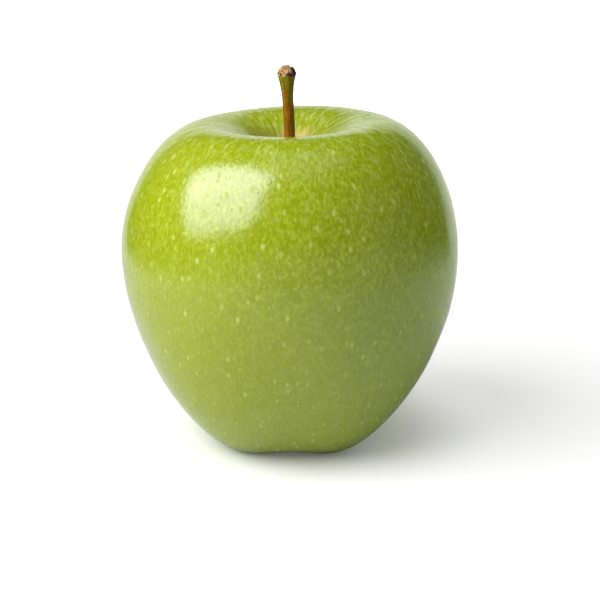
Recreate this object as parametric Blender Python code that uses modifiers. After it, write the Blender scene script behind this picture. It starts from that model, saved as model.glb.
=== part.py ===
"""A green apple standing on its base: the fruit, its stem and the dried calyx underneath.

For Blender 4.5, in metres with +Z up. The origin is on the table under the middle of the fruit,
whose axis from calyx to stem is Z. The stem leans towards -X and +X is the higher shoulder.
"""

import math

import bmesh
import bpy
from mathutils import Vector
from mathutils.geometry import interpolate_bezier

MM = 0.001

# Fruit, in millimetres
DIAMETER = 80.0  # across the belly, the widest ring
HEIGHT = 77.0  # table to shoulder, without the stem
BELLY_HEIGHT = 45.8
RIM_RADIUS = 20.4  # the ring where the shoulder turns over into the stem cavity
CAVITY_DEPTH = 17.0
FOOT_RADIUS = 15.5  # the ring that the fruit stands on
BASIN_DEPTH = 8.0  # the calyx basin, above the foot
LOBES = 5
FOOT_LOBE = 0.6  # how far the lobes push the foot ring down, and the valleys raise it
SHOULDER_LOBE = 0.2
FLAT_DEPTH = 0.3  # how much of each lobe's tip the table has pressed flat
SHOULDER_TILT = 0.026  # rise of the shoulder per millimetre towards +X

# Fullness of the outline: how far a stretch runs straight on before it turns, as a share of its span
SHOULDER_TOP_FULLNESS = 0.46
SHOULDER_SIDE_FULLNESS = 0.58
FLANK_SIDE_FULLNESS = 0.42
FLANK_FOOT_FULLNESS = 0.47
CAVITY_RIM_FULLNESS = 0.8
BASIN_RIM_FULLNESS = 0.4
BASIN_FLOOR_FULLNESS = 0.3

# Stem and its socket, in millimetres
STEM_DIAMETER = 2.6
STEM_LENGTH = 33.6
STEM_END_DIAMETER = 4.7
STEM_LEAN = 0.75  # sideways travel of its end
SOCKET_DEPTH = 4.0

# Calyx, in millimetres
SEPAL_SEAT = 1.1  # from the mouth of the calyx tube out to the ring that the sepals grow from
SEPAL_LENGTH = 5.2
SEPAL_WIDTH = 2.1
SEPAL_THICKNESS = 0.5
TUFT_DIAMETER = 2.6
TUFT_LENGTH = 5.6
TUBE_DEPTH = 3.2
CLEARANCE = 0.3  # between pieces that touch in the real fruit

TURNS = 60  # steps around the fruit, a multiple of four and of LOBES
STEM_STEPS = 26
SEPAL_STEPS = 8

radius = DIAMETER / 2
foot = FOOT_LOBE - FLAT_DEPTH  # height of the foot ring before its lobes are pressed flat
basin_top = foot + BASIN_DEPTH
cavity_floor = HEIGHT - CAVITY_DEPTH
socket_radius = STEM_DIAMETER / 2 + CLEARANCE
tube_radius = TUFT_DIAMETER / 2 + CLEARANCE
calyx_radius = tube_radius + SEPAL_SEAT


def smooth_step(value):
    value = min(max(value, 0.0), 1.0)
    return value * value * (3 - 2 * value)


def stretch(start, start_handle, end_handle, end, count):
    """Points along one Bezier stretch, each given as (distance from the axis, height)."""
    knots = [Vector((r, 0.0, z)) for r, z in (start, start_handle, end_handle, end)]
    return interpolate_bezier(*knots, count)


def basin_stretch(count):
    """The calyx basin, from the foot ring in to the mouth of the calyx tube."""
    span = FOOT_RADIUS - tube_radius
    return stretch(
        (FOOT_RADIUS, foot),
        (FOOT_RADIUS - span * BASIN_RIM_FULLNESS, foot),
        (tube_radius + span * BASIN_FLOOR_FULLNESS, basin_top),
        (tube_radius, basin_top),
        count,
    )


def fruit_profile():
    """Half outline from the bottom of the stem socket, over the shoulder and down to the tube."""
    socket_floor = cavity_floor - SOCKET_DEPTH
    tube_top = basin_top + TUBE_DEPTH
    shoulder_span = radius - RIM_RADIUS
    shoulder_drop = HEIGHT - BELLY_HEIGHT
    flank_span = radius - FOOT_RADIUS
    flank_drop = BELLY_HEIGHT - foot
    socket = [Vector((0, 0, socket_floor)), Vector((socket_radius, 0, socket_floor))]
    cavity = stretch(
        (socket_radius, cavity_floor),
        (socket_radius, cavity_floor),
        (RIM_RADIUS * (1 - CAVITY_RIM_FULLNESS), HEIGHT),
        (RIM_RADIUS, HEIGHT),
        13,
    )
    shoulder = stretch(
        (RIM_RADIUS, HEIGHT),
        (RIM_RADIUS + shoulder_span * SHOULDER_TOP_FULLNESS, HEIGHT),
        (radius, BELLY_HEIGHT + shoulder_drop * SHOULDER_SIDE_FULLNESS),
        (radius, BELLY_HEIGHT),
        13,
    )
    flank = stretch(
        (radius, BELLY_HEIGHT),
        (radius, BELLY_HEIGHT - flank_drop * FLANK_SIDE_FULLNESS),
        (FOOT_RADIUS + flank_span * FLANK_FOOT_FULLNESS, foot),
        (FOOT_RADIUS, foot),
        14,
    )
    basin = basin_stretch(8)
    tube = [Vector((tube_radius, 0, tube_top)), Vector((0, 0, tube_top))]
    return socket + cavity + shoulder[1:] + flank[1:] + basin[1:] + tube


def turned(name, profile, steps):
    """Object whose half outline, in millimetres, is turned around Z by a Screw modifier."""
    mesh = bpy.data.meshes.new(name)
    edges = [(i, i + 1) for i in range(len(profile) - 1)]
    mesh.from_pydata([point * MM for point in profile], edges, [])
    piece = bpy.data.objects.new(name, mesh)
    collection.objects.link(piece)
    screw = piece.modifiers.new("Turn", "SCREW")
    screw.steps = steps
    screw.render_steps = steps
    screw.use_merge_vertices = True
    screw.merge_threshold = 0.00001
    return piece


def made_solid(piece):
    """Replaces a piece's modifiers with the mesh they make."""
    view = bpy.context.evaluated_depsgraph_get()
    mesh = bpy.data.meshes.new_from_object(piece.evaluated_get(view))
    piece.modifiers.clear()
    piece.data = mesh
    mesh.name = piece.name
    return mesh


def grown(point):
    """Where growth moves a point of the turned fruit: base lobes, shoulder lobes and the tilt."""
    reach = math.hypot(point.x, point.y)
    settled = smooth_step((reach - calyx_radius) / (FOOT_RADIUS - calyx_radius))
    lobe = settled * math.sin(LOBES * math.atan2(point.y, point.x))
    if point.z > BELLY_HEIGHT:
        high = smooth_step((point.z - BELLY_HEIGHT) / (HEIGHT - BELLY_HEIGHT))
        swell = lobe * high * SHOULDER_LOBE / (HEIGHT - BELLY_HEIGHT)
        lift = settled * high * SHOULDER_TILT * point.x
    else:
        low = smooth_step((BELLY_HEIGHT - point.z) / (BELLY_HEIGHT - foot))
        swell = lobe * low * FOOT_LOBE / (BELLY_HEIGHT - foot)
        lift = 0.0
    centre = Vector((0, 0, BELLY_HEIGHT))
    return centre + (point - centre) * (1 + swell) + Vector((0, 0, lift))


def pressed_flat(mesh):
    """Cuts the mesh off at the table, which leaves a small flat spot under each base lobe."""
    work = bmesh.new()
    work.from_mesh(mesh)
    everything = work.verts[:] + work.edges[:] + work.faces[:]
    bmesh.ops.bisect_plane(
        work, geom=everything, dist=0.000001, plane_co=(0, 0, 0), plane_no=(0, 0, 1), clear_inner=True
    )
    openings = [edge for edge in work.edges if edge.is_boundary]
    bmesh.ops.holes_fill(work, edges=openings, sides=0)
    work.to_mesh(mesh)
    work.free()


def finish(piece, name, colour, roughness):
    """Gives a piece a plain non-metallic material and smooth shading."""
    material = bpy.data.materials.get(name) or bpy.data.materials.new(name)
    material.use_nodes = True
    shader = material.node_tree.nodes["Principled BSDF"]
    shader.inputs["Base Color"].default_value = (*colour, 1)
    shader.inputs["Roughness"].default_value = roughness
    shader.inputs["Metallic"].default_value = 0
    piece.data.materials.append(material)


def add_fruit():
    """Flesh and skin as one solid, standing on the flat spots of its base lobes."""
    fruit = turned("fruit", fruit_profile(), TURNS)
    mesh = made_solid(fruit)
    for vertex in mesh.vertices:
        vertex.co = grown(vertex.co / MM) * MM
    pressed_flat(mesh)
    mesh.shade_smooth()
    finish(fruit, "waxy green skin", (0.38, 0.53, 0.03), 0.3)


def stem_radius(share):
    """Radius at a share of the stem's length: swollen foot, slim middle, flared and domed end."""
    middle = STEM_DIAMETER / 2 * (1 - 0.12 * smooth_step(share / 0.5))
    end = STEM_END_DIAMETER / 2
    flare = (end - middle) * smooth_step((share - 0.8) / 0.15)
    dome = end / 2 * smooth_step((share - 0.955) / 0.045)
    return middle + flare - dome


def add_stem():
    """Woody stalk from its socket to its scarred end, bending gently towards -X."""
    curve = bpy.data.curves.new("stem", "CURVE")
    curve.dimensions = "3D"
    curve.bevel_depth = MM
    curve.bevel_resolution = 6
    curve.use_fill_caps = True
    base = cavity_floor - SOCKET_DEPTH + CLEARANCE
    spline = curve.splines.new("POLY")
    spline.points.add(STEM_STEPS)
    for i, point in enumerate(spline.points):
        share = i / STEM_STEPS
        lean = STEM_LEAN * smooth_step((share - 0.3) / 0.8)
        point.co = (-lean * MM, 0, (base + STEM_LENGTH * share) * MM, 1)
        point.radius = stem_radius(share)
    stem = bpy.data.objects.new("stem", curve)
    collection.objects.link(stem)
    finish(stem, "green-brown stem", (0.19, 0.13, 0.035), 0.6)


def calyx_ceiling():
    """Lowest point of the basin over the sepals' roots, or its floor if none is lower."""
    nearest = calyx_radius - SEPAL_THICKNESS
    farthest = math.hypot(calyx_radius + SEPAL_THICKNESS, SEPAL_WIDTH / 2)
    above = [point.z for point in basin_stretch(200) if nearest < point.x < farthest]
    return min(above, default=basin_top)


def add_sepal(number):
    """One dried calyx lobe, a tapering strip that hangs from the calyx ring and curls outwards."""
    top = calyx_ceiling() - CLEARANCE
    curl = stretch((0, 0), (0.1, -0.45), (0.35, -0.75), (0.62, -0.72), SEPAL_STEPS + 1)
    work = bmesh.new()
    bmesh.ops.create_grid(work, x_segments=SEPAL_STEPS, y_segments=4, size=0.5)
    for vertex in work.verts:
        share = vertex.co.x + 0.5
        point = curl[round(share * SEPAL_STEPS)] * SEPAL_LENGTH
        across = vertex.co.y * SEPAL_WIDTH * (1 - 0.8 * share**1.5)
        vertex.co = Vector((calyx_radius + point.x, across, top + point.z)) * MM
    mesh = bpy.data.meshes.new("sepal")
    work.to_mesh(mesh)
    work.free()
    mesh.shade_smooth()
    sepal = bpy.data.objects.new(f"sepal_{number}", mesh)
    collection.objects.link(sepal)
    sepal.rotation_euler.z = math.tau * (number - 0.5) / LOBES
    solidify = sepal.modifiers.new("Thickness", "SOLIDIFY")
    solidify.thickness = SEPAL_THICKNESS * MM
    solidify.offset = 0
    finish(sepal, "dried calyx", (0.11, 0.06, 0.025), 0.85)


def add_stamen_tuft():
    """Withered stamens and styles, one brush that fills the mouth of the calyx tube."""
    top = basin_top + TUBE_DEPTH - CLEARANCE
    outline = [(0, 0), (0.8, 0), (1, 0.2), (1, 0.5), (0.85, 0.8), (1.1, 1), (0, 0.92)]
    profile = [
        Vector((TUFT_DIAMETER / 2 * across, 0, top - TUFT_LENGTH * along)) for across, along in outline
    ]
    tuft = turned("stamen_tuft", profile, 20)
    finish(tuft, "dried calyx", (0.11, 0.06, 0.025), 0.85)


for leftover in list(bpy.data.objects):
    bpy.data.objects.remove(leftover)
collection = bpy.data.collections.new("apple")
bpy.context.scene.collection.children.link(collection)

add_fruit()
add_stem()
for number in range(1, LOBES + 1):
    add_sepal(number)
add_stamen_tuft()
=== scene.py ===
import math
import random

import bpy
import numpy as np
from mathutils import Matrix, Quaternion, Vector, noise


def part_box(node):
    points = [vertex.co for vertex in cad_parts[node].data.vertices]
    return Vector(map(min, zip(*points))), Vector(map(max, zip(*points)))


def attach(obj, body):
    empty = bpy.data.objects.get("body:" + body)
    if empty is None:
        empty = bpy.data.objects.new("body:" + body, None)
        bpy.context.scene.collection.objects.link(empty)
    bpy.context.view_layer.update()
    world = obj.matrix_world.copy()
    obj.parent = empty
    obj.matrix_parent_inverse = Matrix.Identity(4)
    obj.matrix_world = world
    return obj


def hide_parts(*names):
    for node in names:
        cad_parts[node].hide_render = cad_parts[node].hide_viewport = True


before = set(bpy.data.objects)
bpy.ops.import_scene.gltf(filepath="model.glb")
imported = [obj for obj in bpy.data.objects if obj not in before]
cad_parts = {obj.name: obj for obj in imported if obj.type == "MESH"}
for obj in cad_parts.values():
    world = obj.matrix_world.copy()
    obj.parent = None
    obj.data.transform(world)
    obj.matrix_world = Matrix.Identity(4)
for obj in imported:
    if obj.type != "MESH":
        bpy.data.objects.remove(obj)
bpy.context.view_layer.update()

# ---------------------------------------------------------------------------
# FRUIT. The real thing is crisp flesh under a thin skin, grown as one body around the core and
# swollen into five soft lobes. It stands on the lobes' tips, and the stem sits in a funnel that
# the shoulders have grown up around. Its outline is turned around the core, then pushed about.
# ---------------------------------------------------------------------------
MM = 0.001
GAP = 0.3  # between pieces that touch in the real fruit, in millimetres like the sizes below
SOCKET_DEPTH = 4.0  # of the stem's seat under the cavity's floor
TUBE_DEPTH = 3.2  # of the calyx tube above the basin
TUFT_SPREAD = 1.1  # width of the stamens' dry tips over that of their foot
SEPAL_SEAT = 1.1  # from the mouth of the calyx tube out to the ring that the sepals grow from
LOBES = 5
FOOT_LOBE = 0.6  # how far the lobes push the foot ring down, and the valleys raise it
FLAT_DEPTH = 0.3  # how much of each lobe's tip the table has pressed flat
SHOULDER_LOBE = 0.05  # how far the lobes raise the shoulder
SHOULDER_TILT = 0.026  # rise of the shoulder per millimetre towards +X

fruit_low, fruit_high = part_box("fruit")
stem_low, stem_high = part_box("stem")
tuft_low, tuft_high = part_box("stamen_tuft")

radius = (fruit_high.x - fruit_low.x) / 2 / MM
height = 1.925 * radius  # table to shoulder
belly = 1.145 * radius  # height of the widest ring
rim = 0.51 * radius  # where the shoulder turns over into the stem cavity
foot = 0.3875 * radius  # the ring that the fruit stands on
foot_height = FOOT_LOBE - FLAT_DEPTH  # before the lobes' tips are pressed flat
cavity_floor = stem_low.z / MM - GAP + SOCKET_DEPTH
basin_top = tuft_high.z / MM + GAP - TUBE_DEPTH
tube_radius = (tuft_high.x - tuft_low.x) / 2 / MM / TUFT_SPREAD + GAP
calyx_radius = tube_radius + SEPAL_SEAT

# How far a stretch of the outline runs straight on before it turns, as a share of its span
SHOULDER_TOP_FULLNESS = 0.46
SHOULDER_SIDE_FULLNESS = 0.58
FLANK_SIDE_FULLNESS = 0.42
FLANK_FOOT_FULLNESS = 0.47
BASIN_RIM_FULLNESS = 0.4
BASIN_FLOOR_FULLNESS = 0.3

# The cavity's floor closes around the stem, and its wall rises steeply before it opens out
FLOOR_START = 0.3
FLOOR_REACH = 1.8
STEEP_REACH = 0.2  # of the way out to the rim

# Rings of points down each stretch, and points in each ring
CAVITY_RINGS = 44
SHOULDER_RINGS = 40
FLANK_RINGS = 52
BASIN_RINGS = 24
AROUND = 256


def curve(points, count):
    """Points along a Bezier curve, given by (distance from the core, height) in millimetres."""
    a, b, c, d = (np.array(point, float) for point in points)
    t = np.linspace(0, 1, count)[:, None]
    return (1 - t) ** 3 * a + 3 * (1 - t) ** 2 * t * b + 3 * (1 - t) * t**2 * c + t**3 * d


def smooth(value, start, end):
    """0 before start, 1 after end and an even S in between. Works on numbers and arrays."""
    share = np.clip((value - start) / (end - start), 0, 1)
    return share * share * (3 - 2 * share)


def fruit_outline():
    """Half outline from the foot of the stem, over the shoulder and under to the calyx tube."""
    shoulder_span = radius - rim
    shoulder_drop = height - belly
    flank_span = radius - foot
    flank_drop = belly - foot_height
    basin_span = foot - tube_radius
    cavity = [
        (FLOOR_START, cavity_floor),
        (FLOOR_REACH, cavity_floor),
        (rim * STEEP_REACH, height),
        (rim, height),
    ]
    shoulder = [
        (rim, height),
        (rim + shoulder_span * SHOULDER_TOP_FULLNESS, height),
        (radius, belly + shoulder_drop * SHOULDER_SIDE_FULLNESS),
        (radius, belly),
    ]
    flank = [
        (radius, belly),
        (radius, belly - flank_drop * FLANK_SIDE_FULLNESS),
        (foot + flank_span * FLANK_FOOT_FULLNESS, foot_height),
        (foot, foot_height),
    ]
    basin = [
        (foot, foot_height),
        (foot - basin_span * BASIN_RIM_FULLNESS, foot_height),
        (tube_radius + basin_span * BASIN_FLOOR_FULLNESS, basin_top),
        (tube_radius, basin_top),
    ]
    tube = [(tube_radius, basin_top + TUBE_DEPTH * share) for share in (0.1, 0.5, 1)]
    stretches = [
        curve(cavity, CAVITY_RINGS),
        curve(shoulder, SHOULDER_RINGS)[1:],
        curve(flank, FLANK_RINGS)[1:],
        curve(basin, BASIN_RINGS)[1:],
    ]
    return np.concatenate([*stretches, tube])


def grown(x, y, z):
    """Where growth moves a point of the turned outline: into lobes, and up at one shoulder."""
    settled = smooth(np.hypot(x, y), calyx_radius, foot)
    lobe = settled * np.sin(LOBES * np.arctan2(y, x))
    high = smooth(z, belly, height)
    low = smooth(-z, -belly, -foot_height)
    at_shoulder = high * SHOULDER_LOBE / (height - belly)
    at_foot = low * FOOT_LOBE / (belly - foot_height)
    swell = 1 + lobe * (at_shoulder + at_foot)
    x, y, z = x * swell, y * swell, belly + (z - belly) * swell
    return np.stack([x, y, z + settled * high * SHOULDER_TILT * x], -1)


def lofted(name, rings, lengths):
    """Closed mesh over rings of points, top to bottom and anticlockwise, in millimetres.

    Each vertex keeps its place in the growth as the vector "grain": the cosine and sine of its
    angle around the ring, and the length along the surface in millimetres.
    """
    count = rings.shape[1]
    angles = np.arange(count) * math.tau / count
    ends = [rings[0].mean(0), rings[-1].mean(0)]
    vertices = np.concatenate([rings.reshape(-1, 3), ends])
    last = len(rings) - 1
    faces = []
    for i in range(last):
        upper, lower = i * count, (i + 1) * count
        for j in range(count):
            following = (j + 1) % count
            faces.append((upper + j, lower + j, lower + following, upper + following))
    top, bottom = len(vertices) - 2, len(vertices) - 1
    faces += [(top, j, (j + 1) % count) for j in range(count)]
    faces += [(bottom, last * count + (j + 1) % count, last * count + j) for j in range(count)]
    mesh = bpy.data.meshes.new(name)
    mesh.from_pydata((vertices * MM).tolist(), [], faces)
    grain = np.zeros((len(vertices), 3), np.float32)
    grain[:-2, 0] = np.tile(np.cos(angles), len(rings))
    grain[:-2, 1] = np.tile(np.sin(angles), len(rings))
    grain[:-2, 2] = np.repeat(lengths, count)
    grain[-2:, 2] = lengths[0], lengths[-1]
    mesh.attributes.new("grain", "FLOAT_VECTOR", "POINT").data.foreach_set("vector", grain.ravel())
    mesh.shade_smooth()
    piece = bpy.data.objects.new(name, mesh)
    bpy.context.scene.collection.objects.link(piece)
    return piece


# Growth is a little uneven, in broad and in small swellings, but even around stem and calyx
BROAD_SWELLING = 19  # wavelength
BROAD_RISE = 0.25
SMALL_SWELLING = 7
SMALL_RISE = 0.06
EVEN_WITHIN = 4
UNEVEN_BEYOND = 26
UP_SHARE = 0.8  # how much less the swellings push up or down than out
BROAD_PLACE = Vector((0, 4, 0))  # shifts the noise that places the broad swellings


def build_fruit():
    outline = fruit_outline()
    steps = np.hypot(*np.diff(outline, axis=0).T)
    lengths = np.concatenate([[0], np.cumsum(steps)])
    lengths -= lengths[CAVITY_RINGS - 1]  # counted from the rim, so the stem cavity is below zero
    angles = np.arange(AROUND) * math.tau / AROUND
    r, z = outline[:, :1], outline[:, 1:]
    rings = grown(r * np.cos(angles), r * np.sin(angles), z + 0 * angles)
    for ring in rings:
        for point in ring:
            outward = Vector((point[0], point[1], (point[2] - belly) * UP_SHARE)).normalized()
            uneven = noise.noise(Vector(point) / BROAD_SWELLING + BROAD_PLACE) * BROAD_RISE
            uneven += noise.noise(Vector(point) / SMALL_SWELLING) * SMALL_RISE
            settled = smooth(np.hypot(point[0], point[1]), EVEN_WITHIN, UNEVEN_BEYOND)
            point += np.array(outward) * uneven * settled
    rings[:, :, 2] = np.maximum(rings[:, :, 2], 0)  # the table has pressed the lobes' tips flat
    return lofted("ripe_fruit", rings, lengths)


def linear(code):
    """Linear colour with alpha for an sRGB hex value such as "a8bd2c"."""
    shares = [int(code[i : i + 2], 16) / 255 for i in (0, 2, 4)]
    return (*[s / 12.92 if s <= 0.04045 else ((s + 0.055) / 1.055) ** 2.4 for s in shares], 1)


def shown(sockets, name):
    """The socket with that name that the node shows, since some nodes hide others of its name."""
    if isinstance(name, int):
        return [s for s in sockets if s.enabled][name]
    return next(s for s in sockets if s.enabled and s.name == name)


def add(tree, kind, inputs, **settings):
    """Adds a node to a material. Inputs are values, or nodes and sockets to link from."""
    node = tree.nodes.new("ShaderNode" + kind)
    for name, value in settings.items():
        setattr(node, name, value)
    for name, value in inputs.items():
        socket = shown(node.inputs, name)
        if isinstance(value, bpy.types.Node):
            value = shown(value.outputs, 0)
        if isinstance(value, bpy.types.NodeSocket):
            tree.links.new(value, socket)
        else:
            socket.default_value = value
    return node


def material(name):
    """An empty material and its node tree."""
    made = bpy.data.materials.new(name)
    made.use_nodes = True
    made.node_tree.nodes.clear()
    return made, made.node_tree


def waxy_skin():
    """Apple skin under its own wax, polished by handling: a soft gloss over a green ground, paler and
    yellower on the left and deeper, darker green on the right, partly a real colour drift and partly
    painted shade.

    Fine pale flecks follow the growth from stem to calyx, and breathing pores show as pale spots.
    Down in the stem cavity the green breaks into cream streaks, and deep on its left wall painted shade
    darkens it to olive brown.

    Patterns lie on the grain, whose circle is enlarged to the skin's distance from the core, in
    millimetres, and whose length is shortened, so that it draws the pattern out along the growth.
    """
    skin, tree = material("waxy apple skin")
    grain = add(tree, "Attribute", {}, attribute_name="grain").outputs["Vector"]
    along = add(tree, "SeparateXYZ", {"Vector": grain}).outputs["Z"]
    place = add(tree, "TexCoord", {}).outputs["Object"]
    across = add(tree, "SeparateXYZ", {"Vector": place}).outputs["X"]

    # ground colour: yellower and deeper green drift over about 20 mm, and from side to side: the left,
    # where the key softbox shines, is paler and yellower, the right deeper and darker green, partly a
    # real drift and partly painted shade
    drift = add(tree, "TexNoise", {"Vector": place, "Scale": 1 / (20 * MM), "Detail": 2.0})
    # painted shade: the right side, away from the key softbox, is darker
    lit_side_and_shade = add(tree, "MapRange", {"Value": across, "From Min": 30 * MM, "From Max": -30 * MM})
    drift_and_side_shade = add(tree, "Math", {0: drift, 1: lit_side_and_shade}, operation="ADD")
    ripe_and_side_shade = add(tree, "MapRange", {"Value": drift_and_side_shade, "From Min": 0.2, "From Max": 1.3})
    ground = add(
        tree, "Mix", {"Factor": ripe_and_side_shade, "A": linear("7f9404"), "B": linear("96a606")}, data_type="RGBA"
    )

    # mottling: curly paler flecks of 0.7 mm, drawn out a little from stem to calyx
    flank_out = 36
    fleck_grain = (flank_out, flank_out, 0.6)
    fleck_map = add(tree, "VectorMath", {0: grain, 1: fleck_grain}, operation="MULTIPLY")
    fleck = add(
        tree,
        "TexNoise",
        {"Vector": fleck_map, "Scale": 1 / 0.7, "Detail": 4.0, "Roughness": 0.75},
    )
    flecks = add(
        tree,
        "MapRange",
        {"Value": fleck, "From Min": 0.42, "From Max": 0.66},
        interpolation_type="SMOOTHSTEP",
    )
    shoulder = add(
        tree,
        "MapRange",
        {"Value": along, "From Min": 52.0, "From Max": 22.0, "To Min": 0.42, "To Max": 0.7},
        interpolation_type="SMOOTHSTEP",
    )
    fleck_strength = add(tree, "Math", {0: flecks, 1: shoulder}, operation="MULTIPLY")
    mottled = add(
        tree, "Mix", {"Factor": fleck_strength, "A": ground, "B": linear("bccd40")}, data_type="RGBA"
    )

    # breathing pores: pale spots about 5 mm apart, with faint specks in between, drawn a little
    # larger than the real ones, at up to 1 mm, so that they show
    pore_grain = (flank_out, flank_out, 0.62)
    pore_map = add(tree, "VectorMath", {0: grain, 1: pore_grain}, operation="MULTIPLY")
    pore = add(tree, "TexVoronoi", {"Vector": pore_map, "Scale": 1 / 2.6})
    pore_core = add(
        tree,
        "MapRange",
        {"Value": pore.outputs["Distance"], "From Min": 0.25, "From Max": 0.06},
        interpolation_type="SMOOTHSTEP",
    )
    pore_kind = add(tree, "SeparateColor", {"Color": pore.outputs["Color"]})
    pore_pale = add(tree, "MapRange", {"Value": pore_kind, "To Min": 0.25, "To Max": 0.75})
    pores = add(tree, "Math", {0: pore_core, 1: pore_pale}, operation="MULTIPLY")
    speck = add(tree, "TexVoronoi", {"Vector": pore_map, "Scale": 1 / 1.5})
    specks = add(
        tree,
        "MapRange",
        {"Value": speck.outputs["Distance"], "From Min": 0.22, "From Max": 0.05, "To Max": 0.3},
        interpolation_type="SMOOTHSTEP",
    )
    spots = add(tree, "Math", {0: pores, 1: specks}, operation="MAXIMUM")
    outside = add(
        tree,
        "MapRange",
        {"Value": along, "From Min": -8.0, "From Max": 4.0},
        interpolation_type="SMOOTHSTEP",
    )
    spot_strength = add(tree, "Math", {0: spots, 1: outside}, operation="MULTIPLY")
    spotted = add(
        tree, "Mix", {"Factor": spot_strength, "A": mottled, "B": linear("d0db84")}, data_type="RGBA"
    )

    # stem cavity: pale streaks about 1 mm wide run down it over the green, and die out on the
    # shoulder
    rim_out = 22
    streak_grain = (rim_out, rim_out, 0.36)
    streak_map = add(tree, "VectorMath", {0: grain, 1: streak_grain}, operation="MULTIPLY")
    streak = add(tree, "TexNoise", {"Vector": streak_map, "Scale": 1 / 1.1, "Detail": 2.0})
    streaks = add(
        tree,
        "MapRange",
        {"Value": streak, "From Min": 0.5, "From Max": 0.66, "To Max": 0.7},
        interpolation_type="SMOOTHSTEP",
    )
    inside = add(
        tree,
        "MapRange",
        {"Value": along, "From Min": 16.0, "From Max": -4.0, "To Min": 0.15, "To Max": 1.0},
    )
    streak_strength = add(tree, "Math", {0: streaks, 1: inside}, operation="MULTIPLY")
    streaked = add(
        tree, "Mix", {"Factor": streak_strength, "A": spotted, "B": linear("c3d376")}, data_type="RGBA"
    )

    # towards the stem the green fades in ragged strips to straw and cream
    funnel_out = 7
    strip_grain = (funnel_out, funnel_out, 0.1)
    strip_map = add(tree, "VectorMath", {0: grain, 1: strip_grain}, operation="MULTIPLY")
    strip = add(tree, "TexNoise", {"Vector": strip_map, "Scale": 1 / 0.9, "Detail": 3.0})
    depth = add(
        tree,
        "MapRange",
        {"Value": along, "From Min": -7.0, "From Max": -17.0, "To Min": -0.35, "To Max": 0.35},
    )
    bleached = add(tree, "Math", {0: strip, 1: depth}, operation="ADD")
    bleach = add(
        tree,
        "MapRange",
        {"Value": bleached, "From Min": 0.4, "From Max": 0.75},
        interpolation_type="SMOOTHSTEP",
    )
    cream = add(
        tree, "Mix", {"Factor": streak, "A": linear("b5a02c"), "B": linear("e2d894")}, data_type="RGBA"
    )
    funnel = add(tree, "Mix", {"Factor": bleach, "A": streaked, "B": cream}, data_type="RGBA")

    # painted shade: deep in the cavity, the left wall, which faces away from the key softbox, is darkened
    # to olive brown
    side = add(tree, "SeparateXYZ", {"Vector": grain}).outputs["X"]
    shaded_cavity_wall = add(tree, "MapRange", {"Value": side, "From Min": 0.3, "From Max": -0.5})
    deep = add(tree, "MapRange", {"Value": along, "From Min": -9.0, "From Max": -16.0, "To Max": 0.75})
    painted_cavity_shade = add(tree, "Math", {0: shaded_cavity_wall, 1: deep}, operation="MULTIPLY")
    colour = add(tree, "Mix", {"Factor": painted_cavity_shade, "A": funnel, "B": linear("78701a")}, data_type="RGBA")

    # relief: dimples of 0.9 mm with a pit at each pore, and grooves that run over the rim
    peel = add(tree, "TexNoise", {"Vector": place, "Scale": 1 / (0.9 * MM), "Detail": 2.0})
    near_rim = add(
        tree,
        "MapRange",
        {"Value": along, "From Min": 12.0, "From Max": 0.0},
        interpolation_type="SMOOTHSTEP",
    )
    shoulder_out = 26
    groove_grain = (shoulder_out, shoulder_out, 0.08)
    groove_map = add(tree, "VectorMath", {0: grain, 1: groove_grain}, operation="MULTIPLY")
    groove = add(tree, "TexNoise", {"Vector": groove_map, "Scale": 1 / 2.2, "Detail": 0.0})
    grooved = add(tree, "Math", {0: groove, 1: 4.0}, operation="MULTIPLY")
    grooves = add(tree, "Mix", {"Factor": near_rim, "A": peel, "B": grooved}, data_type="FLOAT")
    relief = add(tree, "Math", {0: pore_core, 1: -0.5, 2: grooves}, operation="MULTIPLY_ADD")
    bump = add(tree, "Bump", {"Height": relief, "Distance": 0.04 * MM})

    # sheen: the skin under the wax is uneven in patches of 3 mm, and dull in the cavity
    patch = add(tree, "TexNoise", {"Vector": place, "Scale": 1 / (3 * MM), "Detail": 3.0})
    sheen = add(
        tree, "MapRange", {"Value": patch, "From Min": 0.3, "From Max": 0.7, "To Min": 0.4, "To Max": 0.5}
    )
    dull = add(tree, "MapRange", {"Value": along, "From Min": -6.0, "From Max": -16.0, "To Max": 0.25})
    roughness = add(tree, "Math", {0: sheen, 1: dull}, operation="ADD")

    # wax: open over the pores, and missing down in the cavity
    waxed = add(tree, "MapRange", {"Value": along, "From Min": -18.0, "From Max": -8.0})
    open_pores = add(tree, "MapRange", {"Value": spots, "From Max": 0.25, "To Min": 1.0, "To Max": 0.15})
    wax = add(tree, "Math", {0: waxed, 1: open_pores}, operation="MULTIPLY")
    shader = add(
        tree,
        "BsdfPrincipled",
        {
            "Base Color": colour,
            "Roughness": roughness,
            "Normal": bump,
            "IOR": 1.5,
            "Specular IOR Level": 0.06,
            "Coat Weight": wax,
            "Coat Roughness": 0.13,
            "Coat IOR": 1.65,
            "Coat Normal": bump,
        },
    )
    add(tree, "OutputMaterial", {"Surface": shader})
    return skin


fruit = build_fruit()
fruit.data.materials.append(waxy_skin())
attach(fruit, "root")
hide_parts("fruit")

# ---------------------------------------------------------------------------
# STEM. A thin woody stalk, a little thicker at its foot and flared at the far end, where it was
# pulled from the twig, which left a torn face with dark scars. Its bark is part green, part brown.
# ---------------------------------------------------------------------------
STEM_LEAN = 0.75  # sideways travel of its flared end
FOOT_LEAN = 0.18  # the other way, at its foot
BEND_START = 8  # above its foot
NECK_RADIUS = 1.33  # at the foot of the stem
NECK_TAPER = 0.05  # over the first stretch of the stem
NECK_TAPER_LENGTH = 16
FLARE_LENGTH = 5.8
FLARE_SHARPNESS = 1.8  # 1 makes the flare a plain cone
SKIN_MARGIN = 0.03  # keeps the rough lip within the size of the flared end
TORN_RISE = 1.6  # from the flared end's lip to the top of the torn fibres

stem_base = stem_low.z / MM
stem_top = stem_high.z / MM
end_radius = (stem_high.x - stem_low.x) / 2 / MM
lip = stem_top - TORN_RISE


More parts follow.
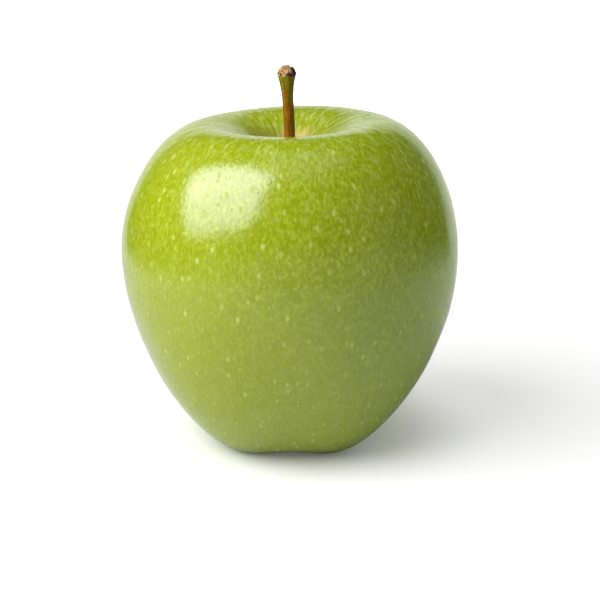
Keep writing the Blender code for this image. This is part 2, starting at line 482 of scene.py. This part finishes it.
def stem_radius(z):
    """Radius of the stem at a height in millimetres, up to the lip of its flared end."""
    neck = NECK_RADIUS - NECK_TAPER * smooth(z, stem_base, stem_base + NECK_TAPER_LENGTH)
    flare = np.clip((z - (lip - FLARE_LENGTH)) / FLARE_LENGTH, 0, 1) ** FLARE_SHARPNESS
    return neck + (end_radius - SKIN_MARGIN - neck) * flare


# Bark: shallow ridges run along it, with finer knobs. Heights are shares of its radius, lengths
# are in millimetres, and the numbers around it are how tightly the noise is wound.
RIDGE = 0.10
RIDGE_LENGTH = 9
RIDGES_AROUND = 1.7
KNOB = 0.05
KNOB_LENGTH = 1.1
KNOBS_AROUND = 2.2

# Torn end: a wavy lip that slopes towards the front, and a dome of splinters, in millimetres
LIP_WAVE = 0.45
WAVES_AROUND = 1.5
LIP_DEPTH = 5  # the wave and the slope die out this far below the lip
LIP_SLOPE = 0.22
DOME = 1.75
SPLINTER = 0.55
SPLINTER_WIDTH = 0.9
HAIR = 0.3
HAIR_WIDTH = 0.4
SPLINTER_PLACE = 2.2  # these three shift the noise
HAIR_PLACE = 5.2
WAVE_PLACE = 7

# Rings, from the middle of the torn end outwards and then down: closer set along the flare
STEM_AROUND = 72
TORN_SHARES = (0.1, 0.22, 0.34, 0.46, 0.57, 0.67, 0.76, 0.84, 0.9, 0.95, 0.985)
FLARE_RINGS = 36
FLARE_REACH = 6
STALK_RINGS = 80
STALK_START = 6.3


def stem_point(angle, share, z):
    """A point on the bark, or on the torn end at a share of the way out to its lip."""
    spot = Vector((math.cos(angle), math.sin(angle), 0))
    ridge = noise.noise(spot * RIDGES_AROUND + Vector((0, 0, z / RIDGE_LENGTH))) * RIDGE
    knob = noise.noise(spot * KNOBS_AROUND + Vector((0, 0, z / KNOB_LENGTH))) * KNOB
    out = stem_radius(z) * (1 + (ridge + knob) * smooth(z, lip + 1, lip - 4))
    x, y = spot.x * out * share, spot.y * out * share
    lip_wave = noise.noise(spot * WAVES_AROUND + Vector((0, 0, WAVE_PLACE))) * LIP_WAVE
    high = z + smooth(z, lip - LIP_DEPTH, lip) * (lip_wave * share**3 + y * LIP_SLOPE)
    if share < 1:
        splinter = noise.noise(Vector((x, y, SPLINTER_PLACE)) / SPLINTER_WIDTH) * SPLINTER
        splinter += noise.noise(Vector((x, y, HAIR_PLACE)) / HAIR_WIDTH) * HAIR
        high += DOME * (1 - share**2.2) + splinter * (1 - share**5)
    lean = FOOT_LEAN - (STEM_LEAN + FOOT_LEAN) * smooth(z, stem_base + BEND_START, stem_top + 2)
    return x + lean, y, high


def build_stem():
    angles = np.arange(STEM_AROUND) * math.tau / STEM_AROUND
    flare = np.linspace(lip, lip - FLARE_REACH, FLARE_RINGS)
    stalk = np.linspace(lip - STALK_START, stem_base, STALK_RINGS)
    stations = [(share, lip) for share in TORN_SHARES]
    stations += [(1.0, z) for z in np.concatenate([flare, stalk])]
    rings = [[stem_point(angle, share, z) for angle in angles] for share, z in stations]
    lengths = [lip - z if share == 1 else -end_radius * (1 - share) for share, z in stations]
    return lofted("woody_stem", np.array(rings), np.array(lengths))


def stem_bark():
    """Bark of a fruit stalk: dull olive green where young, orange brown where it has turned woody.

    Fibres 0.35 mm thick run along it, with small pale corky flecks, and its right side is darkened as
    painted shade.
    """
    bark, tree = material("green-brown stem bark")
    grain = add(tree, "Attribute", {}, attribute_name="grain").outputs["Vector"]
    along = add(tree, "SeparateXYZ", {"Vector": grain}).outputs["Z"]
    bark_out = 1.3
    fibre_grain = (bark_out, bark_out, 0.12)
    fibre_map = add(tree, "VectorMath", {0: grain, 1: fibre_grain}, operation="MULTIPLY")
    strand = add(tree, "TexNoise", {"Vector": fibre_map, "Scale": 1 / 0.35, "Detail": 3.0})
    fibre = add(tree, "MapRange", {"Value": strand, "From Min": 0.25, "From Max": 0.72})

    # woody brown takes over from young green in blotches, more of them further down
    blotch_grain = (bark_out, bark_out, 0.4)
    blotch_map = add(tree, "VectorMath", {0: grain, 1: blotch_grain}, operation="MULTIPLY")
    blotch = add(tree, "TexNoise", {"Vector": blotch_map, "Scale": 1 / 0.9, "Detail": 3.0})
    around = add(tree, "SeparateXYZ", {"Vector": grain}).outputs["X"]
    aged = add(
        tree,
        "MapRange",
        {"Value": along, "From Min": 2.0, "From Max": 9.0, "To Min": -0.12, "To Max": 0.22},
    )
    sided = add(tree, "Math", {0: around, 1: -0.13, 2: aged}, operation="MULTIPLY_ADD")
    brown = add(tree, "Math", {0: blotch, 1: sided}, operation="ADD")
    brown_share = add(
        tree,
        "MapRange",
        {"Value": brown, "From Min": 0.42, "From Max": 0.66},
        interpolation_type="SMOOTHSTEP",
    )
    young = add(
        tree, "Mix", {"Factor": fibre, "A": linear("625a04"), "B": linear("a29a12")}, data_type="RGBA"
    )
    old = add(
        tree, "Mix", {"Factor": fibre, "A": linear("6a3c02"), "B": linear("b4740a")}, data_type="RGBA"
    )
    mixed = add(tree, "Mix", {"Factor": brown_share, "A": young, "B": old}, data_type="RGBA")

    # painted shade darkens the right side, then corky flecks about 0.2 mm wide go over it
    painted_shade_side = add(tree, "MapRange", {"Value": around, "From Min": 0.1, "From Max": 0.9, "To Max": 0.6})
    ground = add(tree, "Mix", {"Factor": painted_shade_side, "A": mixed, "B": linear("3a2c06")}, data_type="RGBA")
    fleck = add(tree, "TexVoronoi", {"Vector": blotch_map, "Scale": 1 / 0.5})
    flecks = add(
        tree,
        "MapRange",
        {"Value": fleck.outputs["Distance"], "From Min": 0.3, "From Max": 0.1, "To Max": 0.7},
        interpolation_type="SMOOTHSTEP",
    )
    colour = add(
        tree, "Mix", {"Factor": flecks, "A": ground, "B": linear("b88a40")}, data_type="RGBA"
    )
    relief = add(tree, "Math", {0: fibre, 1: flecks}, operation="ADD")
    bump = add(tree, "Bump", {"Height": relief, "Distance": 0.1 * MM})
    shader = add(
        tree,
        "BsdfPrincipled",
        {
            "Base Color": colour,
            "Roughness": 0.5,
            "Normal": bump,
            "IOR": 1.5,
            "Specular IOR Level": 0.2,
        },
    )
    add(tree, "OutputMaterial", {"Surface": shader})
    return bark


def torn_wood():
    """Torn end of the stalk: pale dry fibre with brown cracks, and dark corky scars at its edge."""
    wood, tree = material("torn stem wood")
    place = add(tree, "TexCoord", {}).outputs["Object"]
    grain = add(tree, "Attribute", {}, attribute_name="grain").outputs["Vector"]
    along = add(tree, "SeparateXYZ", {"Vector": grain}).outputs["Z"]
    fibre = add(tree, "TexNoise", {"Vector": place, "Scale": 1 / (0.6 * MM), "Detail": 4.0})
    ground = add(
        tree, "Mix", {"Factor": fibre, "A": linear("a0692c"), "B": linear("ecc890")}, data_type="RGBA"
    )
    crack = add(
        tree,
        "TexVoronoi",
        {"Vector": place, "Scale": 1 / (1.3 * MM)},
        feature="DISTANCE_TO_EDGE",
    )
    cracks = add(tree, "MapRange", {"Value": crack, "From Min": 0.1, "From Max": 0.0, "To Max": 0.7})
    cracked = add(
        tree, "Mix", {"Factor": cracks, "A": ground, "B": linear("5a3018")}, data_type="RGBA"
    )
    scar = add(tree, "TexNoise", {"Vector": place, "Scale": 1 / (1.5 * MM), "Detail": 2.0})
    edge = add(
        tree,
        "MapRange",
        {"Value": along, "From Min": -1.4, "From Max": 0.0, "To Min": -0.12, "To Max": 0.12},
    )
    side = add(tree, "VectorMath", {0: grain, 1: (0.1, -0.05, 0)}, operation="DOT_PRODUCT")
    turned = add(tree, "Math", {0: side.outputs["Value"], 1: edge}, operation="ADD")
    scarred = add(tree, "Math", {0: scar, 1: turned}, operation="ADD")
    scars = add(
        tree,
        "MapRange",
        {"Value": scarred, "From Min": 0.58, "From Max": 0.65},
        interpolation_type="SMOOTHSTEP",
    )
    colour = add(tree, "Mix", {"Factor": scars, "A": cracked, "B": linear("3f1c12")}, data_type="RGBA")
    sunk = add(tree, "Math", {0: cracks, 1: -1.0, 2: fibre}, operation="MULTIPLY_ADD")
    bump = add(tree, "Bump", {"Height": sunk, "Distance": 0.2 * MM})
    shader = add(
        tree, "BsdfPrincipled", {"Base Color": colour, "Roughness": 0.8, "Normal": bump}
    )
    add(tree, "OutputMaterial", {"Surface": shader})
    return wood


stem = build_stem()
stem.data.materials.append(stem_bark())
stem.data.materials.append(torn_wood())
stem_grain = stem.data.attributes["grain"].data
for face in stem.data.polygons:
    torn = min(stem_grain[v].vector.z for v in face.vertices) < -0.01  # inside the lip
    face.material_index = int(torn)
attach(stem, "root")
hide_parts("stem")

# ---------------------------------------------------------------------------
# SEPALS. The five leaf tips that once held the blossom, now dry and brown in the basin under the
# fruit. Each is a thin pointed blade, cupped along its length and curled outwards at the tip.
# ---------------------------------------------------------------------------
SEPAL_HALF_WIDTH = 1.05
SEPAL_HALF_THICKNESS = 0.2
SEPAL_TIP = 0.05  # half width left at the tip
SEPAL_CUP = 0.32  # how far its edges turn in
SEPAL_CRUMPLE = 0.22
SEPAL_RINGS = 22
SEPAL_AROUND = 20
SEPAL_LAST = SEPAL_RINGS - 1
RING_SPACING = 0.25  # along the blade, for its grain
chance = random.Random(5)


def build_sepal(number):
    low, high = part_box(f"sepal_{number}")
    angle = math.tau * (number - 0.5) / LOBES
    top = high.z / MM
    drop = top - low.z / MM
    curl = 1 + chance.uniform(-0.15, 0.25)
    lean = chance.uniform(-0.25, 0.25)
    hanging = (0.4, -drop * 0.5)
    turning = (1.4 * curl, -drop)
    tip = (3.4 * curl, -drop * 0.92)
    path = curve([(0, 0), hanging, turning, tip], SEPAL_RINGS)
    around = np.arange(SEPAL_AROUND) * math.tau / SEPAL_AROUND
    rings = []
    for i, (out, down) in enumerate(path):
        share = i / SEPAL_LAST
        ahead = path[min(i + 1, SEPAL_LAST)] - path[max(i - 1, 0)]
        ahead = ahead / np.hypot(*ahead)
        wavy = 1 + 0.12 * math.sin(share * 16 + number)
        half_width = SEPAL_HALF_WIDTH * (1 - share**1.6) ** 0.8 * wavy + SEPAL_TIP
        half_thickness = SEPAL_HALF_THICKNESS * (1 - 0.5 * share)
        ring = []
        for turn in around:
            u = math.cos(turn) * half_width
            v = math.sin(turn) * half_thickness + SEPAL_CUP * (u / SEPAL_HALF_WIDTH) ** 2
            crumple = noise.noise(Vector((u * 1.3, share * 5, number * 7))) * SEPAL_CRUMPLE * share
            r = calyx_radius + out - ahead[1] * (v + crumple)
            z = top + down + ahead[0] * (v + crumple)
            w = u + lean * share**2 * 3
            x = r * math.cos(angle) - w * math.sin(angle)
            y = r * math.sin(angle) + w * math.cos(angle)
            ring.append((x, y, z))
        rings.append(ring)
    upside = np.array(rings)[:, ::-1]  # the blade hangs, so its rings run the other way round
    return lofted(f"dried_sepal_{number}", upside, np.arange(SEPAL_RINGS) * RING_SPACING)


def dried_leaf():
    """Dried sepal tissue: brown, papery and finely veined, paler where it has weathered."""
    leaf, tree = material("dried calyx leaf")
    place = add(tree, "TexCoord", {}).outputs["Object"]
    weathered = add(tree, "TexNoise", {"Vector": place, "Scale": 1 / (1.4 * MM), "Detail": 3.0})
    vein = add(tree, "TexNoise", {"Vector": place, "Scale": 1 / (0.35 * MM), "Detail": 2.0})
    ground = add(
        tree, "Mix", {"Factor": weathered, "A": linear("4a3216"), "B": linear("94774c")}, data_type="RGBA"
    )
    veined = add(tree, "MapRange", {"Value": vein, "From Min": 0.5, "From Max": 0.7, "To Max": 0.5})
    colour = add(tree, "Mix", {"Factor": veined, "A": ground, "B": linear("2a160a")}, data_type="RGBA")
    bump = add(tree, "Bump", {"Height": vein, "Distance": 0.1 * MM})
    shader = add(tree, "BsdfPrincipled", {"Base Color": colour, "Roughness": 0.85, "Normal": bump})
    add(tree, "OutputMaterial", {"Surface": shader})
    return leaf


calyx_leaf = dried_leaf()
for number in range(1, LOBES + 1):
    sepal = build_sepal(number)
    sepal.data.materials.append(calyx_leaf)
    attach(sepal, "root")
    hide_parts(f"sepal_{number}")

# ---------------------------------------------------------------------------
# STAMENS. What is left of the blossom's stamens and styles: a brush of thin withered threads in
# the mouth of the calyx tube, each with the shrivelled knob of its anther near the end. They are
# as dry and brown as the sepals.
# ---------------------------------------------------------------------------
THREADS = 22
THREAD_RINGS = 16
THREAD_AROUND = 8
THREAD_LAST = THREAD_RINGS - 1
THREAD_RADIUS = 0.09
TIP_SWELLING = 0.13  # the shrunken anther near its end
TIP_PLACE = 0.93  # as a share of the thread's length
TIP_LENGTH = 0.05
THREAD_SPACING = 0.3  # between its rings, for its grain
GOLDEN_TURN = 0.382  # spreads the threads evenly, like seeds in a flower head


def build_thread(number):
    angle = number * math.tau * GOLDEN_TURN
    inner = 0.25 + 0.75 * math.sqrt((number + 0.5) / THREADS)
    top = tuft_high.z / MM
    fall = (top - tuft_low.z / MM) * chance.uniform(0.75, 1.0)
    stray = chance.uniform(-0.25, 0.25)
    rings = []
    for i in range(THREAD_RINGS):
        share = i / THREAD_LAST
        out = inner * (0.55 + 0.45 * share + 0.1 * math.sin(share * 5 + number))
        turn = angle + stray * share**2 * 2
        tip = TIP_SWELLING * math.exp(-(((share - TIP_PLACE) / TIP_LENGTH) ** 2))
        thick = THREAD_RADIUS * (1 - 0.4 * share) + tip
        if i in (0, THREAD_LAST):
            thick *= 0.4
        x, y, z = out * math.cos(turn), out * math.sin(turn), top - fall * share
        rings.append(
            [
                (x + thick * math.cos(a), y + thick * math.sin(a), z)
                for a in np.arange(THREAD_AROUND) * math.tau / THREAD_AROUND
            ]
        )
    return lofted(f"thread_{number}", np.array(rings), np.arange(THREAD_RINGS) * THREAD_SPACING)


threads = [build_thread(number) for number in range(THREADS)]
with bpy.context.temp_override(active_object=threads[0], selected_editable_objects=threads):
    bpy.ops.object.join()
stamens = threads[0]
stamens.name = "withered_stamens"
stamens.data.materials.append(calyx_leaf)
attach(stamens, "root")
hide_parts("stamen_tuft")

# ---------------------------------------------------------------------------
# STUDIO. A white sheet under the fruit, a big softbox high on the left, dim ones above and on the
# right, two fills that don't show in the wax, and a white wall behind. The camera looks slightly
# down with a long lens.
# ---------------------------------------------------------------------------
TABLE_RADIUS = 0.32  # in metres, like the sizes of the lights
TABLE_FADE = 0.18  # from here out the sheet fades into the white room
GLOW_REACH = 3.4 * foot * MM  # from here in, the sheet's glow gives way to the fruit's shadow
SHADE_REACH = 1.1 * foot * MM
bpy.ops.mesh.primitive_circle_add(vertices=96, radius=TABLE_RADIUS, fill_type="NGON")
table_top = bpy.context.object
table_top.name = "studio_floor"
paper, paper_tree = material("white studio paper")
from_middle = add(paper_tree, "TexCoord", {}).outputs["Object"]
reach = add(paper_tree, "VectorMath", {0: from_middle}, operation="LENGTH").outputs["Value"]
solid = add(
    paper_tree,
    "MapRange",
    {"Value": reach, "From Min": TABLE_RADIUS, "From Max": TABLE_FADE},
    interpolation_type="SMOOTHSTEP",
)

# matt white paper: for the camera alone part of its white glows, but hardly by the fruit's foot
direct = add(paper_tree, "LightPath", {}).outputs["Is Camera Ray"]
by_foot = add(
    paper_tree,
    "MapRange",
    {"Value": reach, "From Min": GLOW_REACH, "From Max": SHADE_REACH},
    interpolation_type="SMOOTHSTEP",
)
lift = add(paper_tree, "MapRange", {"Value": by_foot, "To Min": 0.58, "To Max": 0.1})
lifted = add(paper_tree, "Math", {0: direct, 1: lift}, operation="MULTIPLY")
seen_white = add(paper_tree, "MapRange", {"Value": by_foot, "To Min": 0.5, "To Max": 0.9})
white = add(paper_tree, "MapRange", {"Value": direct, "To Min": 0.7, "To Max": seen_white})
paper_shader = add(
    paper_tree,
    "BsdfPrincipled",
    {
        "Base Color": white,
        "Emission Color": (1, 1, 1, 1),
        "Emission Strength": lifted,
        "Alpha": solid,
        "Roughness": 0.9,
        "Specular IOR Level": 0.2,
    },
)
add(paper_tree, "OutputMaterial", {"Surface": paper_shader})
table_top.data.materials.append(paper)

middle = Vector((0, 0, height / 2 * MM))  # of the fruit, which lights and camera turn about


LIGHT_DISTANCE = 1.2
KEY_TURN = math.radians(-62)  # rolls the softbox, so that its dimmer edge is the lower one


def softbox(name, toward, width, depth, radiance, turn=0.0, lower=1.0, core=0.1):
    """Area light that faces the fruit from a direction. Radiance is next to a white sheet at 1.

    The cloth has rounded corners, fades outside its bright core, and is dimmer at its lower edge.
    """
    light = bpy.data.lights.new(name, "AREA")
    light.shape = "RECTANGLE"
    light.size = width
    light.size_y = depth
    light.energy = radiance * math.pi * width * depth
    light.use_nodes = True
    tree = light.node_tree
    tree.nodes.clear()
    spot = add(tree, "NewGeometry", {}).outputs["Parametric"]
    centred = add(
        tree, "VectorMath", {0: spot, 1: (2, 2, 0), 2: (-1, -1, 0)}, operation="MULTIPLY_ADD"
    )
    squared = add(tree, "VectorMath", {0: centred, 1: centred}, operation="MULTIPLY")
    fourth = add(tree, "VectorMath", {0: squared, 1: squared}, operation="DOT_PRODUCT")
    cloth = add(
        tree,
        "MapRange",
        {"Value": fourth.outputs["Value"], "From Min": 1.0, "From Max": core},
        interpolation_type="SMOOTHSTEP",
    )
    down_cloth = add(tree, "SeparateXYZ", {"Vector": centred}).outputs["X"]
    hot = add(
        tree,
        "MapRange",
        {"Value": down_cloth, "From Min": 1.0, "From Max": -0.2, "To Min": lower, "To Max": 1.0},
    )
    strength = add(tree, "Math", {0: cloth, 1: hot}, operation="MULTIPLY")
    glow = add(tree, "Emission", {"Strength": strength})
    add(tree, "OutputLight", {"Surface": glow})
    lamp = bpy.data.objects.new(name, light)
    lamp.location = middle + Vector(toward).normalized() * LIGHT_DISTANCE
    facing = (middle - lamp.location).to_track_quat("-Z", "Y")
    lamp.rotation_euler = (facing @ Quaternion((0, 0, 1), turn)).to_euler()
    bpy.context.scene.collection.objects.link(lamp)
    return lamp


softbox("key_softbox", (-0.665, -0.335, 0.668), 1.36, 1.38, 6.8, turn=KEY_TURN, lower=0.5)
softbox("top_softbox", (0.05, -0.05, 0.99), 1.0, 1.0, 0.5)
softbox("right_softbox", (0.85, -0.37, 0.3), 1.5, 1.5, 0.22, core=-0.6)
for fill in (
    softbox("rear_fill", (0.72, 0.68, 0.2), 1.0, 1.0, 3.6),
    softbox("front_fill", (0.3, -0.9, 0.3), 1.0, 1.0, 0.36),
):
    fill.visible_glossy = False  # behind a polariser, so it doesn't show in the wax

# The room that the wax shows: the white wall is brightest behind the fruit and ends in the dark,
# the table is white from below up to a soft horizon, and a wall on the right is barely lit.
TO_WALL = (0.055, 0.95, -0.215)
TO_TABLE = (0.06, -0.276, -0.961)
world = bpy.data.worlds.new("white room")
bpy.context.scene.world = world
world.use_nodes = True
room_tree = world.node_tree
room_tree.nodes.clear()
toward = add(room_tree, "TexCoord", {}).outputs["Generated"]
rightward = add(room_tree, "SeparateXYZ", {"Vector": toward}).outputs["X"]
facing_wall = add(room_tree, "VectorMath", {0: toward, 1: TO_WALL}, operation="DOT_PRODUCT")
behind = facing_wall.outputs["Value"]
wall_paint = add(
    room_tree,
    "MapRange",
    {"Value": behind, "From Min": 0.77, "From Max": 0.95, "To Min": 0.58, "To Max": 0.9},
)
wall = add(
    room_tree,
    "MapRange",
    {"Value": behind, "From Min": 0.76, "From Max": 0.785, "To Min": 0.015, "To Max": wall_paint},
    interpolation_type="SMOOTHSTEP",
)
facing_table = add(room_tree, "VectorMath", {0: toward, 1: TO_TABLE}, operation="DOT_PRODUCT")
table = add(
    room_tree,
    "MapRange",
    {"Value": facing_table.outputs["Value"], "From Min": -0.02, "From Max": 0.24},
)
table_white = add(
    room_tree,
    "MapRange",
    {"Value": rightward, "From Min": -0.2, "From Max": 0.5, "To Min": 0.52, "To Max": 0.42},
)
bounce = add(room_tree, "Math", {0: table, 1: table_white}, operation="MULTIPLY")
right_wall = add(
    room_tree, "MapRange", {"Value": rightward, "From Min": 0.1, "From Max": 0.9, "To Max": 0.015}
)
dim = add(room_tree, "Math", {0: bounce, 1: right_wall}, operation="MAXIMUM")
pale = add(room_tree, "Math", {0: wall, 1: dim}, operation="MAXIMUM")

# the camera itself sees pure white, a little overexposed
seen = add(room_tree, "LightPath", {}).outputs["Is Camera Ray"]
lit = add(room_tree, "Math", {0: seen, 1: 1.1, 2: pale}, operation="MULTIPLY_ADD")
tint = add(
    room_tree, "Mix", {"Factor": seen, "A": linear("fdfff2"), "B": (1, 1, 1, 1)}, data_type="RGBA"
)
room = add(room_tree, "Background", {"Color": tint, "Strength": lit})
add(room_tree, "OutputWorld", {"Surface": room})

CAMERA_RISE = math.radians(16)
CAMERA_DISTANCE = 10 * radius * MM
FRAME_WIDTH = 144.2 * MM  # what the frame takes in at the fruit
FRUIT_ASIDE = 2.36 * MM  # how far left of the frame's middle the fruit stands
FRUIT_RAISED = 4.8 * MM  # and how far above it
SENSOR_WIDTH = 36
camera_data = bpy.data.cameras.new("camera")
camera_data.sensor_width = SENSOR_WIDTH
camera_data.lens = SENSOR_WIDTH * CAMERA_DISTANCE / FRAME_WIDTH
camera = bpy.data.objects.new("camera", camera_data)
bpy.context.scene.collection.objects.link(camera)
away = Vector((0, -math.cos(CAMERA_RISE), math.sin(CAMERA_RISE)))
upward = away.cross(Vector((1, 0, 0))).normalized()
camera.location = middle + away * CAMERA_DISTANCE
aim = middle + Vector((FRUIT_ASIDE, 0, 0)) - upward * FRUIT_RAISED
camera.rotation_euler = (aim - camera.location).to_track_quat("-Z", "Y").to_euler()
bpy.context.scene.camera = camera
bpy.context.scene.view_settings.view_transform = "Standard"
